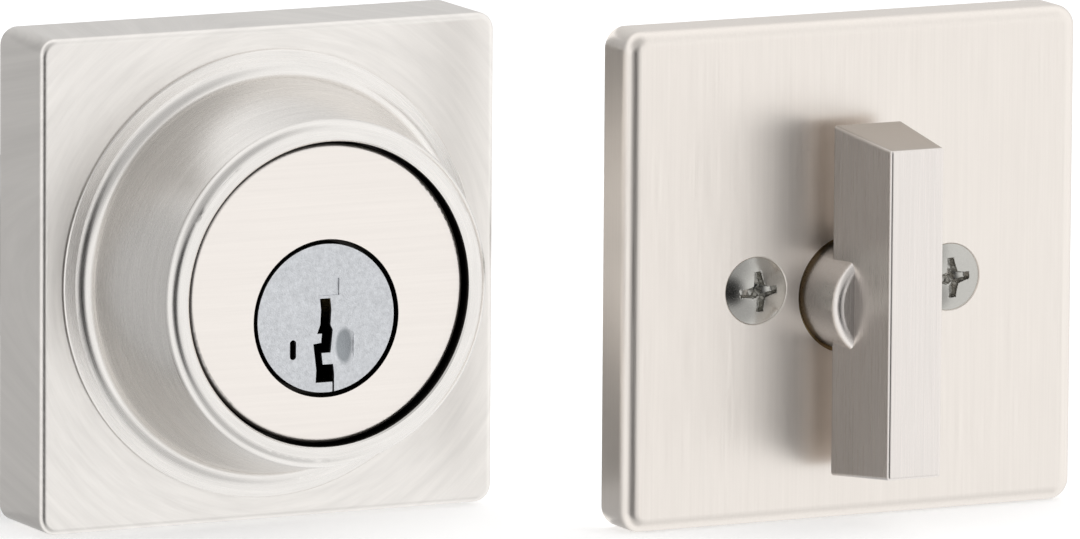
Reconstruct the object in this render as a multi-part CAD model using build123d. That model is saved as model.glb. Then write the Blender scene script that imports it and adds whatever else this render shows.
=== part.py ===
from build123d import *
import os
from math import cos, radians, sin, sqrt

# A single-cylinder deadbolt lock with square trim: the outer trim with its key cylinder and the
# bolt stand where they sit on a door, and the inner trim with its thumb turn stands beside them.
# Millimetres. The origin is on the lock's turning axis, at the door's outer face. +Z is up and +Y
# goes into the door, so both trims face -Y. Depths into the door are Y values.

# ---- door and lock case
DOOR_THICKNESS = 44.5
BACKSET = 60.0
THROW = 25.4
AXIS_DROP = 3.35            # turning axis below the centre of both plates and of the door's bores
POST_RISE = 1.35            # mounting screws above the axis

# ---- outer square rose
ROSE_SIDE = 66.6
ROSE_DEPTH = 13.6
ROSE_CORNER = 2.4
ROSE_FRONT_ROUND = 0.9
ROSE_WALL = 2.0
ROSE_FRONT_WALL = 2.6
BACK_CHAMFER = 0.3

# ---- tapered collar round the cylinder
COLLAR_RIM = 3.3            # nose's ring outside the face disc
COLLAR_TAPER = 3.2          # wall's foot, at the top of the cove, outside the nose
COLLAR_COVE = 2.0
COLLAR_LIP = 1.6            # flat of the flange outside the cove
COLLAR_FLANGE_T = 0.55
COLLAR_PROUD = 19.1         # nose in front of the rose
COLLAR_NOSE_ROUND = 1.5
COLLAR_SPIGOT_STEP = 1.2    # spigot inside the wall's foot
COLLAR_SPIGOT_DEPTH = 2.5   # through the rose and into the door's cross bore
COLLAR_SPIGOT_WALL = 2.0

# ---- cylinder housing
FACE_LEDGE = 1.7            # face disc outside the housing
FACE_RECESS = 1.2           # face disc behind the collar's nose
FACE_T = 4.0
FACE_EDGE = 0.7             # rounded front edge of the face disc
HOUSING_WALL = 1.5          # outside the posts' studs
HOUSING_BACK = 1.0          # housing's back end, outside the door's face
DRILL_PIN_R = 1.0
DRILL_PIN_LENGTH = 14.0
DRILL_PIN_WALL = 0.7        # between a drill pin and the plug's mouth
SIDEBAR_GROOVE_DEPTH = 1.0
SIDEBAR_GROOVE_PAST = 3.0   # groove's ends past the end pins

# ---- key plug
PLUG_R = 9.95
PLUG_MOUTH_STEP = 0.6
PLUG_MOUTH_DEPTH = 3.0
PLUG_RECESS = 0.15
PLUG_TAIL = 2.0             # plug's back end, inside the door's face
PIN_COUNT = 5
PIN_PITCH = 4.0
FIRST_PIN = 4.4             # first pin behind the plug's face
PIN_R = 1.3
PIN_TIP_Z = -0.3
PIN_LENGTH = 5.5
PIN_TIP = 1.0
PIN_TIP_R = 0.585
PIN_HOLE_BELOW = 0.3
PIN_SPRING_R = 0.85
PIN_SPRING_WIRE = 0.17
SPRING_TURNS = 5
SPRING_COVER_Z = 8.9        # underside of the strip that holds the springs down
SPRING_COVER_T = 0.7
SPRING_COVER_HALF = 1.2
SPRING_COVER_PAST = 1.55    # its ends past the end pins
KEYWAY_PAST_PIN = 2.5       # keyway's end behind the last pin
WAFER_THICKNESS = 1.5
WAFER_OUT = 5.4             # wafer's outer edge from the axis
WAFER_LOW = -0.8
WAFER_HIGH = 5.6
WAFER_ROOM = 0.1
WAFER_TRAVEL = 0.8
WAFER_NOTCH_X = 4.75
WAFER_NOTCH_HALF = 0.45
SLIT_X = 1.14               # thin slit from the keyway's foot to the rim
SLIT_WIDTH = 0.26
SLIT_HEIGHT = 2.2
SLIT_DEPTH = 3.0
SLIT_FROM_RIM = 0.8
RESET_SLOT_X = -4.77        # re-keying slot beside the keyway
RESET_SLOT_Z = -3.97
RESET_SLOT_HEIGHT = 2.66
RESET_SLOT_WIDTH = 0.9
RESET_SLOT_DEPTH = 2.5
DISH_X = 2.75               # shallow oval dish on the keyway's other side
DISH_Z = -3.85
DISH_R = 8.3
DISH_DEPTH = 0.3
DISH_XS = (1.35, 4.1)
DISH_ZS = (-6.4, -1.2)
STEP_DEPTH = 0.2            # faint step above the keyway
STEP_XS = (-0.9, 1.95)
STEP_ZS = (3.0, 5.3)
SIDEBAR_Z = 1.2
SIDEBAR_HEIGHT = 1.6
SIDEBAR_OUT = 9.55
SIDEBAR_IN = 6.3
SIDEBAR_PAST = 2.5          # its ends past the end pins
TONGUE_X = 4.95             # its tongues reach in to the wafers' notches
TONGUE_HALF_T = 0.5
TONGUE_HALF_HEIGHT = 0.3
SIDEBAR_SPRING_R = 0.5
SIDEBAR_SPRING_WIRE = 0.12
SIDEBAR_SPRING_LENGTH = 3.0
SIDEBAR_SPRING_HOLE_R = 0.75
SIDEBAR_SPRING_PAST = 1.85
CLIP_T = 0.8
CLIP_PROUD = 0.75
CLIP_GROOVE_DEPTH = 0.85
CLIP_BEHIND = 0.25          # plug's clip behind the housing
CLIP_OPENING = 60.0
TAIL_CAP_T = 1.0

# ---- tailpiece and its quarter turn of free play
BLADE_WIDTH = 8.0
BLADE_T = 2.4
TAIL_HEAD_R = 5.9
TAIL_HEAD_T = 2.6
TAIL_CORE_R = 3.245
TAIL_TIP = 1.5              # chamfer at the blade's end
BLADE_HOLE_GAP = 0.5
BLADE_SLOT_GAP = 0.1        # blade in the slots it turns
TAIL_LOBE_DEG = 40.0
PLUG_LUG_DEG = 49.0
LUG_LEAD_DEG = 3.0          # lug just behind the lobe, so that it pushes at once
TAIL_PAST_DOOR = 12.5

# ---- threaded posts
POST_R = 3.5
POST_PAST_MIDDLE = 0.75     # post's end past the middle of the door
POST_THREAD = 16.0
POST_STUD_R = 2.4
POST_STUD_LENGTH = 8.0
SCREW_R = 2.0

# ---- bolt
BOLT_R = 10.8
BOLT_T = 14.0
BOLT_CHAMFER = 0.6
BOLT_CLEARS_POST = 1.5      # bolt's back end, drawn back, from the post
TUBE_WALL = 1.3
TUBE_STOPS_SHORT = 7.5      # tube's back end from the drawn-back bolt's
CASE_WALL = 1.2
CASE_STEP = 0.25            # case's round sides inside the tube's
CASE_PAST_POST = 2.0
CASE_SLOT = 10.2            # opening along the top for the crank
CASE_POST_GAP = 0.4         # posts in the case's holes
FACEPLATE_WIDTH = 25.4
FACEPLATE_HEIGHT = 57.2
FACEPLATE_T = 1.8
FACEPLATE_CORNER = 3.0
FACEPLATE_SCREW_Z = 21.4
PLATE_SCREW_HEAD_R = 4.0
PLATE_SCREW_HEAD_T = 2.0
PLATE_SCREW_NECK_R = 1.7    # plain under the head, through both plates
PLATE_SCREW_LENGTH = 16.0   # from the faceplate's front to the start of the point
PLATE_SCREW_POINT = 3.0
PLATE_SCREW_TIP_R = 0.3
THREAD_START = 0.5          # thread begins this far behind the plates
PLATE_SCREW_SLOT_DEPTH = 1.2
PLATE_SCREW_SLOT_HALF = 0.45
PLATE_SCREW_SLOT_REACH = 2.2
BACKER_T = 1.2
BACKER_INSET = 1.0
SAW_PIN_R = 3.0
SAW_PIN_LENGTH = 24.0
SAW_PIN_START = 4.0         # behind the bolt's end
SAW_PIN_DROP = 3.0          # below the bolt's middle
HUB_R = 6.0
HUB_HALF = 5.0
HUB_JOURNAL_R = 5.0
HUB_PROUD = 0.3
CRANK_T = 3.0
CRANK_PRONG = 1.6
CRANK_TIP_SHORT = 0.16      # fork's end short of the drawn-back pin's middle
CRANK_SLACK = 1.1           # the fork's pin runs straight while the crank turns
TAIL_PIN_R = 1.5
TAIL_PIN_HALF = 4.8
LINK_T = 2.4
LINK_BELOW_PIN = 3.3
LINK_ABOVE_PIN = 0.5
LINK_EYE_R = 2.4
LINK_EYE_DROP = 0.6         # eye's middle below the tail pin's
LINK_GRIP = 11.0            # length of each link held in the bolt
CROSS_PIN_R = 1.2
CROSS_PIN_HALF = 4.9
RIVET_R = 1.2
RIVET_HEAD_R = 2.0
RIVET_HEAD_T = 0.5
RIVET_X = 9.5               # the two low rivets, either side of the hub
RIVET_LOW_Z = -3.6
RIVET_FROM_BACK = 3.0       # the high one, from the case's back end
RIVET_HIGH_Z = 7.6
LEAF_T = 0.5                # bowed leaf spring under the hub
LEAF_GAP = 0.4
LEAF_HALF = 11.2
LEAF_TOP_HALF = 5.0
LEAF_UNDER_HALF = 4.9
LEAF_HALF_WIDTH = 3.0

# ---- inner trim, set to the right of the outer one and nearer the viewer
INNER_X = 73.0
INNER_Y = -34.4
COVER_SIDE = 67.5
COVER_DEPTH = 7.45
COVER_CORNER = 2.9
COVER_FRONT_ROUND = 2.0
COVER_WALL = 1.6
COVER_FRONT_WALL = 2.4
SUPPORT_GAP = 2.15
SUPPORT_T = 2.0
SUPPORT_CORNER = 3.0
BOSS_R = 7.55
BOSS_PROUD = 9.6
BOSS_ROUND = 1.3
BOSS_SHORT = 0.3            # boss's back end inside the door's face
BOSS_BORE = 14.0
TURN_BACK_GAP = 3.7         # grip's back in front of the cover
TURN_FRONT = 18.4
TURN_BACK_HEIGHT = 47.4
TURN_FRONT_HEIGHT = 44.3
TURN_BACK_WIDTH = 10.2
TURN_FRONT_WIDTH = 7.9
TURN_EDGE_ROUND = 0.45
BUSH_WALL = 0.5
BUSH_SHOULDER = 1.35
BUSH_FLANGE = 1.5
BUSH_FLANGE_T = 1.0
BUSH_SUNK = 0.85            # bush's nose behind the cover's front
WASHER_T = 0.2
TURN_CLIP_PROUD = 1.65
INSERT_R = 5.2
INSERT_LENGTH = 6.0
SCREW_HEAD_R = 4.5
SCREW_DOME = 1.2
SCREW_CONE = 2.2
SCREW_TIP = 1.0
SCREW_TIP_TAPER = 0.6
RECESS_REACH = 2.45         # cross recess: half-length, half-width, depth behind the cover's face
RECESS_HALF = 0.5
RECESS_DEPTH = 0.7
RECESS_TURN = 4.0
RECESS_MOUTH_R = 1.25       # and the round hollow in its middle
RECESS_FLOOR_R = 0.6
RECESS_MIDDLE_DEPTH = 1.6
SCREW_SHORT = 12.5          # screw's end short of the door's outer face

# ---- clearances
RUNNING = 0.05              # round shaft in its bore, on the radius
SLIDING = 0.3               # other moving faces
EASY = 0.15                 # fixed pieces that drop in

# ---- sizes and places worked out from the sizes above
CLIP_R = PLUG_R + CLIP_PROUD
CLIP_GROOVE_R = PLUG_R - CLIP_GROOVE_DEPTH
PLUG_MOUTH_R = PLUG_R + PLUG_MOUTH_STEP
POST_HALF_SPACING = CLIP_R + POST_R + SLIDING
HOUSING_R = POST_HALF_SPACING + POST_STUD_R + HOUSING_WALL
FACE_R = HOUSING_R + FACE_LEDGE
COLLAR_NOSE_R = FACE_R + COLLAR_RIM
COLLAR_FOOT_R = COLLAR_NOSE_R + COLLAR_TAPER
COLLAR_SPIGOT_R = COLLAR_FOOT_R - COLLAR_SPIGOT_STEP
COLLAR_FLANGE_R = COLLAR_FOOT_R + COLLAR_COVE + COLLAR_LIP
SUPPORT_SIDE = COVER_SIDE - 2 * (COVER_WALL + SUPPORT_GAP)
HUB_HOLE_R = BOSS_R + 2 * RUNNING + BUSH_WALL
BUSH_R = HUB_HOLE_R + BUSH_SHOULDER
BUSH_FLANGE_R = BUSH_R + BUSH_FLANGE
TURN_CLIP_R = BOSS_R + TURN_CLIP_PROUD
TURN_CLIP_GROOVE_R = BOSS_R - CLIP_GROOVE_DEPTH
PLATE_Z = AXIS_DROP
FLANGE_Y = -ROSE_DEPTH
NOSE_Y = FLANGE_Y - COLLAR_PROUD
FACE_Y = NOSE_Y + FACE_RECESS
SHOULDER_Y = FACE_Y + FACE_T
HOUSING_BACK_Y = -HOUSING_BACK
PLUG_FACE_Y = FACE_Y + PLUG_RECESS
PLUG_R_BORE = PLUG_R + RUNNING
DOOR_MID_Y = DOOR_THICKNESS / 2
POST_REACH = DOOR_MID_Y + POST_PAST_MIDDLE
TAIL_LENGTH = DOOR_THICKNESS + TAIL_PAST_DOOR
SCREW_REACH = DOOR_THICKNESS - SCREW_SHORT
BORE_Z = AXIS_DROP
TAIL_PIN_X = THROW / 2
TAIL_PIN_Z = THROW / 2      # a quarter turn of the crank then gives the whole throw
CRANK_TIP = sqrt(2) * TAIL_PIN_Z - CRANK_TIP_SHORT
LINK_BOTTOM = TAIL_PIN_Z - LINK_BELOW_PIN
LINK_TOP = TAIL_PIN_Z + LINK_ABOVE_PIN
BOLT_REAR = POST_HALF_SPACING + POST_R + BOLT_CLEARS_POST
TUBE_REAR = BOLT_REAR + TUBE_STOPS_SHORT
CASE_BACK = POST_HALF_SPACING + POST_R + CASE_PAST_POST
TUBE_R_IN = BOLT_R + SLIDING
TUBE_R = TUBE_R_IN + TUBE_WALL
CASE_HALF = BOLT_T / 2 + SLIDING + CASE_WALL
FACEPLATE_X = -BACKSET
BACKER_X = FACEPLATE_X + FACEPLATE_T
TUBE_FRONT_X = BACKER_X + BACKER_T
POST_XS = (-POST_HALF_SPACING, POST_HALF_SPACING)

os.makedirs("parts", exist_ok=True)

# Every cutter runs 1 mm past the faces it opens.


def save(shape, name):
    shape.label = name
    export_step(shape, f"parts/{name}.step")


def block(x0, x1, y0, y1, z0, z1):
    """A box between two values on each axis."""
    middle = Pos((x0 + x1) / 2, (y0 + y1) / 2, (z0 + z1) / 2)
    return middle * Box(x1 - x0, y1 - y0, z1 - z0)


def rod_y(r, y0, y1, x=0.0, z=0.0):
    return Pos(x, (y0 + y1) / 2, z) * Rot(90, 0, 0) * Cylinder(r, y1 - y0)


def rod_x(r, x0, x1, y=0.0, z=0.0):
    return Pos((x0 + x1) / 2, y, z) * Rot(0, 90, 0) * Cylinder(r, x1 - x0)


def rod_z(r, z0, z1, x=0.0, y=0.0):
    return Pos(x, y, (z0 + z1) / 2) * Cylinder(r, z1 - z0)


def cone_y(r_front, r_back, y_front, y_back, x=0.0, z=0.0):
    """A cone along Y with its own radius at each end."""
    middle = Pos(x, (y_front + y_back) / 2, z)
    return middle * Rot(90, 0, 0) * Cone(r_back, r_front, y_back - y_front)


def turned(points, x=0.0, z=0.0):
    """A closed outline of (radius, y) points turned about a line along Y."""
    outline = make_face(Polyline(*points, close=True))
    return Pos(x, 0, z) * revolve(outline, Axis.Y)


def front_plane(y):
    """Sketches lie as seen from the front: their x is +X, their y is +Z, and they grow to -Y."""
    return Plane((0, y, 0), x_dir=(1, 0, 0), z_dir=(0, -1, 0))


def slab(sketch, y_front, y_back):
    return extrude(front_plane(y_back) * sketch, y_back - y_front)


def cover_shell(side, depth, corner, front_round, wall, front_wall):
    """A square cover, open at the back at y = 0, centred on the plate's centre."""
    outside = Pos(0, PLATE_Z) * RectangleRounded(side, side, corner)
    body = slab(outside, -depth, 0)
    body = fillet(body.faces().sort_by(Axis.Y)[0].edges(), front_round)
    body = chamfer(body.faces().sort_by(Axis.Y)[-1].edges(), BACK_CHAMFER)
    room = side - 2 * wall
    inside = Pos(0, PLATE_Z) * RectangleRounded(room, room, max(corner - wall, wall / 4))
    return body - slab(inside, front_wall - depth, 0)


def coil(radius, wire, height, turns):
    """A compression spring along +Z, standing on z = 0."""
    path = Helix(pitch=(height - 2 * wire) / turns, height=height - 2 * wire, radius=radius)
    start = path @ 0
    section = Plane(start, z_dir=path % 0) * Circle(wire)
    return Pos(0, 0, wire) * sweep(section, path, is_frenet=True)


def sector(radius, centre_deg, width_deg, y0, y1):
    """A pie slice about the turning axis, its middle at an angle from +X towards +Z."""
    low = radians(centre_deg - width_deg / 2)
    high = radians(centre_deg + width_deg / 2)
    middle = radians(centre_deg)
    side = Line((0, 0), (radius * cos(low), radius * sin(low)))
    rim = ThreePointArc(side @ 1, (radius * cos(middle), radius * sin(middle)),
                        (radius * cos(high), radius * sin(high)))
    pie = make_face(side + rim + Line(rim @ 1, (0, 0)))
    return slab(pie, y0, y1)


def bolt_section(r, thickness):
    """A disc with two flats, as a sketch across the bolt: x is the door's thickness."""
    return Circle(r) & Rectangle(thickness, 3 * r)


def along_bolt(sketch, x0, x1):
    """Extrudes a sketch drawn across the bolt from x0 to x1."""
    across = Plane((x0, DOOR_MID_Y, BORE_Z), x_dir=(0, 1, 0), z_dir=(1, 0, 0))
    return extrude(across * sketch, x1 - x0)


# ================================================================ outer trim


def outer_rose():
    shell = cover_shell(ROSE_SIDE, ROSE_DEPTH, ROSE_CORNER, ROSE_FRONT_ROUND,
                        ROSE_WALL, ROSE_FRONT_WALL)
    hole = rod_y(COLLAR_SPIGOT_R + EASY, -ROSE_DEPTH - 1, 1, z=PLATE_Z)
    return shell - hole


def guard_collar():
    flange_front = FLANGE_Y - COLLAR_FLANGE_T
    cove_top = flange_front - COLLAR_COVE
    spigot_back = FLANGE_Y + ROSE_FRONT_WALL
    face_bore = FACE_R + 2 * EASY
    body_bore = HOUSING_R + 2 * EASY
    tail_bore = COLLAR_SPIGOT_R - COLLAR_SPIGOT_WALL
    cove_foot = COLLAR_FOOT_R + COLLAR_COVE
    cove_mid = COLLAR_COVE * (1 - sqrt(0.5))
    start = (body_bore, spigot_back)
    nose_start = (COLLAR_NOSE_R, NOSE_Y + COLLAR_NOSE_ROUND)
    nose_mid_r = COLLAR_NOSE_R - COLLAR_NOSE_ROUND * (1 - sqrt(0.5))
    nose_mid_y = NOSE_Y + COLLAR_NOSE_ROUND * (1 - sqrt(0.5))
    nose_end = (COLLAR_NOSE_R - COLLAR_NOSE_ROUND, NOSE_Y)
    back = Polyline(start, (tail_bore, spigot_back), (tail_bore, COLLAR_SPIGOT_DEPTH),
                    (COLLAR_SPIGOT_R, COLLAR_SPIGOT_DEPTH), (COLLAR_SPIGOT_R, FLANGE_Y),
                    (COLLAR_FLANGE_R, FLANGE_Y), (COLLAR_FLANGE_R, flange_front + EASY),
                    (COLLAR_FLANGE_R - EASY, flange_front), (cove_foot, flange_front))
    cove = ThreePointArc(back @ 1, (COLLAR_FOOT_R + cove_mid, flange_front - cove_mid),
                         (COLLAR_FOOT_R, cove_top))
    wall = Line(cove @ 1, nose_start)
    nose = ThreePointArc(nose_start, (nose_mid_r, nose_mid_y), nose_end)
    bore = Polyline(nose_end, (face_bore + 2 * EASY, NOSE_Y), (face_bore, NOSE_Y + 2 * EASY),
                    (face_bore, SHOULDER_Y), (body_bore, SHOULDER_Y), start)
    outline = make_face(back + cove + wall + nose + bore)
    return Pos(0, 0, PLATE_Z) * revolve(outline, Axis.Y)


def cylinder_housing():
    body = rod_y(FACE_R, FACE_Y, SHOULDER_Y, z=PLATE_Z)
    body = fillet(body.edges().group_by(Axis.Y)[0], FACE_EDGE)
    body += rod_y(HOUSING_R, SHOULDER_Y, HOUSING_BACK_Y, z=PLATE_Z)
    body -= rod_y(PLUG_R_BORE, FACE_Y - 1, HOUSING_BACK_Y + 1)
    body -= rod_y(PLUG_MOUTH_R, FACE_Y - 1, FACE_Y + PLUG_MOUTH_DEPTH)
    groove_depth = PLUG_R_BORE + SIDEBAR_GROOVE_DEPTH
    first, last = pin_places()[0], pin_places()[-1]
    body -= block(-groove_depth, -PLUG_R + 2, first - SIDEBAR_GROOVE_PAST, last + SIDEBAR_GROOVE_PAST,
                  SIDEBAR_Z - SIDEBAR_HEIGHT / 2, SIDEBAR_Z + SIDEBAR_HEIGHT / 2)
    for x in POST_XS:
        stud_hole = rod_y(POST_STUD_R + RUNNING, HOUSING_BACK_Y - POST_STUD_LENGTH, HOUSING_BACK_Y + 1,
                          x, POST_RISE)
        body -= stud_hole
    for x, y in drill_pin_places():
        body -= rod_z(DRILL_PIN_R, -DRILL_PIN_LENGTH / 2, 3 * FACE_R, x, y)
    return body


def drill_pin_places():
    reach = PLUG_MOUTH_R + DRILL_PIN_R + DRILL_PIN_WALL
    return [(side * reach, FACE_Y + FACE_T / 2) for side in (-1, 1)]


def drill_pins():
    return [rod_z(DRILL_PIN_R, -DRILL_PIN_LENGTH / 2, DRILL_PIN_LENGTH / 2, x, y)
            for x, y in drill_pin_places()]


def threaded_posts():
    posts = []
    for x in POST_XS:
        post = rod_y(POST_R, HOUSING_BACK_Y, POST_REACH, x, POST_RISE)
        post += rod_y(POST_STUD_R, HOUSING_BACK_Y - POST_STUD_LENGTH, HOUSING_BACK_Y, x, POST_RISE)
        posts.append(post - rod_y(SCREW_R + EASY, POST_REACH - POST_THREAD, POST_REACH + 1, x, POST_RISE))
    return posts


# ================================================================ key plug


def pin_places():
    return [PLUG_FACE_Y + FIRST_PIN + i * PIN_PITCH for i in range(PIN_COUNT)]


def keyway():
    """The warded keyway, seen from the front about the turning axis."""
    outline = [(-0.87, 2.65), (0.65, 2.65), (0.83, 1.2), (0.7, -0.9), (1.04, -1.6), (0.72, -4.65),
               (-0.6, -4.65), (-0.4, -6.2), (1.1, -6.2), (1.27, -7.5), (1.27, -8.6), (-1.45, -8.6),
               (-1.36, -6.9), (-1.8, -3.4), (-0.66, -3.25), (-0.56, -2.05), (-1.25, -2.05),
               (-0.8, -0.8), (-0.7, 1.2)]
    return make_face(Polyline(*outline, close=True))


def key_plug():
    body = rod_y(PLUG_R, PLUG_FACE_Y, PLUG_TAIL)
    body -= slab(keyway(), PLUG_FACE_Y - 1, pin_places()[-1] + KEYWAY_PAST_PIN)
    slit = Pos(SLIT_X, -PLUG_R + SLIT_FROM_RIM) * Rectangle(SLIT_WIDTH, SLIT_HEIGHT)
    body -= slab(slit, PLUG_FACE_Y - 1, PLUG_FACE_Y + SLIT_DEPTH)
    reset_slot = Rot(0, 0, 90) * SlotOverall(RESET_SLOT_HEIGHT, RESET_SLOT_WIDTH)
    reset_slot = Pos(RESET_SLOT_X, RESET_SLOT_Z) * reset_slot
    body -= slab(reset_slot, PLUG_FACE_Y - 1, PLUG_FACE_Y + RESET_SLOT_DEPTH)
    dish = Pos(DISH_X, PLUG_FACE_Y + DISH_DEPTH - DISH_R, DISH_Z) * Sphere(DISH_R)
    body -= dish & block(*DISH_XS, PLUG_FACE_Y - 1, PLUG_FACE_Y + 1, *DISH_ZS)
    body -= block(*STEP_XS, PLUG_FACE_Y - 1, PLUG_FACE_Y + STEP_DEPTH, *STEP_ZS)
    for y in pin_places():
        body -= rod_z(PIN_R + RUNNING, PIN_TIP_Z - PIN_HOLE_BELOW, PLUG_R + 1, 0, y)
        half = WAFER_THICKNESS / 2 + RUNNING
        body -= block(-WAFER_OUT - WAFER_ROOM, 0, y - half, y + half, WAFER_LOW - WAFER_ROOM,
                      WAFER_HIGH + WAFER_TRAVEL)
    first, last = pin_places()[0], pin_places()[-1]
    body -= block(-SPRING_COVER_HALF - RUNNING, SPRING_COVER_HALF + RUNNING,
                  first - SPRING_COVER_PAST - RUNNING,
                  last + SPRING_COVER_PAST + RUNNING, SPRING_COVER_Z, PLUG_R + 1)
    low = SIDEBAR_Z - SIDEBAR_HEIGHT / 2 - RUNNING
    high = SIDEBAR_Z + SIDEBAR_HEIGHT / 2 + RUNNING
    body -= block(-PLUG_R - 1, -WAFER_OUT, first - SIDEBAR_PAST - WAFER_ROOM,
                  last + SIDEBAR_PAST + WAFER_ROOM,
                  low, high)
    for y in sidebar_spring_places():
        body -= rod_x(SIDEBAR_SPRING_HOLE_R, -SIDEBAR_IN, SIDEBAR_SPRING_LENGTH - SIDEBAR_IN, y, SIDEBAR_Z)
    groove_y = HOUSING_BACK_Y + CLIP_BEHIND
    ring = rod_y(PLUG_R + 1, groove_y, groove_y + CLIP_T)
    body -= ring - rod_y(CLIP_GROOVE_R, groove_y - 1, groove_y + CLIP_T + 1)
    pocket_y = PLUG_TAIL - TAIL_HEAD_T - 2 * EASY
    pocket = rod_y(TAIL_HEAD_R + SLIDING, pocket_y, PLUG_TAIL + 1)
    for turn in (0, 180):
        pocket -= sector(2 * TAIL_HEAD_R, lug_middle() + turn, PLUG_LUG_DEG, pocket_y - 1, PLUG_TAIL + 2)
    pocket += rod_y(TAIL_CORE_R + SLIDING, pocket_y, PLUG_TAIL + 1)
    return body - pocket


def lug_middle():
    """The plug's lug sits just behind the tailpiece's upright lobe, so that it pushes at once."""
    return 90 - TAIL_LOBE_DEG / 2 - PLUG_LUG_DEG / 2 - LUG_LEAD_DEG


def sidebar_spring_places():
    return [pin_places()[0] - SIDEBAR_SPRING_PAST, pin_places()[-1] + SIDEBAR_SPRING_PAST]


def key_pins():
    pins = []
    for y in pin_places():
        pin = rod_z(PIN_R, PIN_TIP_Z + PIN_TIP, PIN_TIP_Z + PIN_LENGTH, 0, y)
        pin += Pos(0, y, PIN_TIP_Z + PIN_TIP / 2) * Cone(PIN_TIP_R, PIN_R, PIN_TIP)
        pins.append(pin)
    return pins


def pin_springs():
    spring = coil(PIN_SPRING_R, PIN_SPRING_WIRE, SPRING_COVER_Z - PIN_TIP_Z - PIN_LENGTH, SPRING_TURNS)
    return [Pos(0, y, PIN_TIP_Z + PIN_LENGTH) * spring for y in pin_places()]


def spring_cover():
    first, last = pin_places()[0], pin_places()[-1]
    return block(-SPRING_COVER_HALF, SPRING_COVER_HALF, first - SPRING_COVER_PAST, last + SPRING_COVER_PAST,
                 SPRING_COVER_Z, SPRING_COVER_Z + SPRING_COVER_T)


def code_wafers():
    wafers = []
    for y in pin_places():
        half = WAFER_THICKNESS / 2
        wafer = block(-WAFER_OUT, -PIN_R - RUNNING, y - half, y + half, WAFER_LOW, WAFER_HIGH)
        notch = block(-WAFER_OUT - 1, -WAFER_NOTCH_X, y - 1, y + 1, SIDEBAR_Z - WAFER_NOTCH_HALF,
                      SIDEBAR_Z + WAFER_NOTCH_HALF)
        wafers.append(wafer - notch)
    return wafers


def sidebar():
    first, last = pin_places()[0], pin_places()[-1]
    bar = block(-SIDEBAR_OUT, -SIDEBAR_IN, first - SIDEBAR_PAST, last + SIDEBAR_PAST,
                SIDEBAR_Z - SIDEBAR_HEIGHT / 2, SIDEBAR_Z + SIDEBAR_HEIGHT / 2)
    for y in pin_places():
        bar += block(-SIDEBAR_IN, -TONGUE_X, y - TONGUE_HALF_T, y + TONGUE_HALF_T,
                     SIDEBAR_Z - TONGUE_HALF_HEIGHT,
                     SIDEBAR_Z + TONGUE_HALF_HEIGHT)
    return bar


def sidebar_springs():
    spring = coil(SIDEBAR_SPRING_R, SIDEBAR_SPRING_WIRE, SIDEBAR_SPRING_LENGTH, SPRING_TURNS)
    start = SIDEBAR_SPRING_LENGTH - SIDEBAR_IN
    return [Pos(start, y, SIDEBAR_Z) * Rot(0, -90, 0) * spring for y in sidebar_spring_places()]


def c_clip(outer, groove, y0, opening_deg):
    """A flat retaining clip, open at the bottom, that snaps into a turned groove."""
    ring = rod_y(outer, y0, y0 + CLIP_T) - rod_y(groove + RUNNING, y0 - 1, y0 + CLIP_T + 1)
    return ring - sector(2 * outer, -90, opening_deg, y0 - 1, y0 + CLIP_T + 1)


def tail_cap():
    return rod_y(PLUG_R, PLUG_TAIL, PLUG_TAIL + TAIL_CAP_T) - rod_y(
        BLADE_WIDTH / 2 + BLADE_HOLE_GAP, PLUG_TAIL - 1, PLUG_TAIL + TAIL_CAP_T + 1)


def tailpiece():
    head_back = PLUG_TAIL - EASY
    head_front = head_back - TAIL_HEAD_T
    body = rod_y(TAIL_CORE_R, head_front, head_back)
    for turn in (90, 270):
        body += sector(TAIL_HEAD_R, turn, TAIL_LOBE_DEG, head_front, head_back)
    blade = block(-BLADE_T / 2, BLADE_T / 2, head_back - EASY, TAIL_LENGTH, -BLADE_WIDTH / 2,
                  BLADE_WIDTH / 2)
    tip = blade.edges().filter_by(Axis.X).group_by(Axis.Y)[-1]
    return body + chamfer(tip, TAIL_TIP)


# ================================================================ bolt and its case


def rivet_places():
    return [(-RIVET_X, RIVET_LOW_Z), (RIVET_X, RIVET_LOW_Z), (CASE_BACK - RIVET_FROM_BACK, RIVET_HIGH_Z)]


def case_half(side):
    """One stamped half: the front one is on the outer trim's side. The crank swings out at the top."""
    shell = along_bolt(bolt_section(TUBE_R - CASE_STEP, 2 * CASE_HALF), -TUBE_REAR, CASE_BACK)
    room = bolt_section(TUBE_R_IN, 2 * (CASE_HALF - CASE_WALL))
    shell -= along_bolt(room, -TUBE_REAR - 1, CASE_BACK - CASE_WALL)
    slot_half = CASE_SLOT / 2
    shell -= block(-BOLT_REAR, CASE_BACK + 1, DOOR_MID_Y - slot_half, DOOR_MID_Y + slot_half,
                   LINK_BOTTOM - SLIDING, BORE_Z + TUBE_R + 1)
    far = DOOR_MID_Y + side * 2 * CASE_HALF
    low, high = sorted((DOOR_MID_Y, far))
    half = shell & block(-TUBE_REAR - 1, CASE_BACK + 1, low, high, -TUBE_R, BORE_Z + TUBE_R)
    half -= rod_y(HUB_JOURNAL_R + RUNNING, low - 1, high + 1)
    for x in POST_XS:
        half -= rod_y(POST_R + CASE_POST_GAP, low - 1, high + 1, x, POST_RISE)
    for x, z in rivet_places():
        half -= rod_y(RIVET_R, low - 1, high + 1, x, z)
    return half


def case_rivets():
    rivets = []
    for x, z in rivet_places():
        rivet = rod_y(RIVET_R, DOOR_MID_Y - CASE_HALF, DOOR_MID_Y + CASE_HALF, x, z)
        for side in (-1, 1):
            face = DOOR_MID_Y + side * CASE_HALF
            low, high = sorted((face, face + side * RIVET_HEAD_T))
            rivet += rod_y(RIVET_HEAD_R, low, high, x, z)
        rivets.append(rivet)
    return rivets


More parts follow.
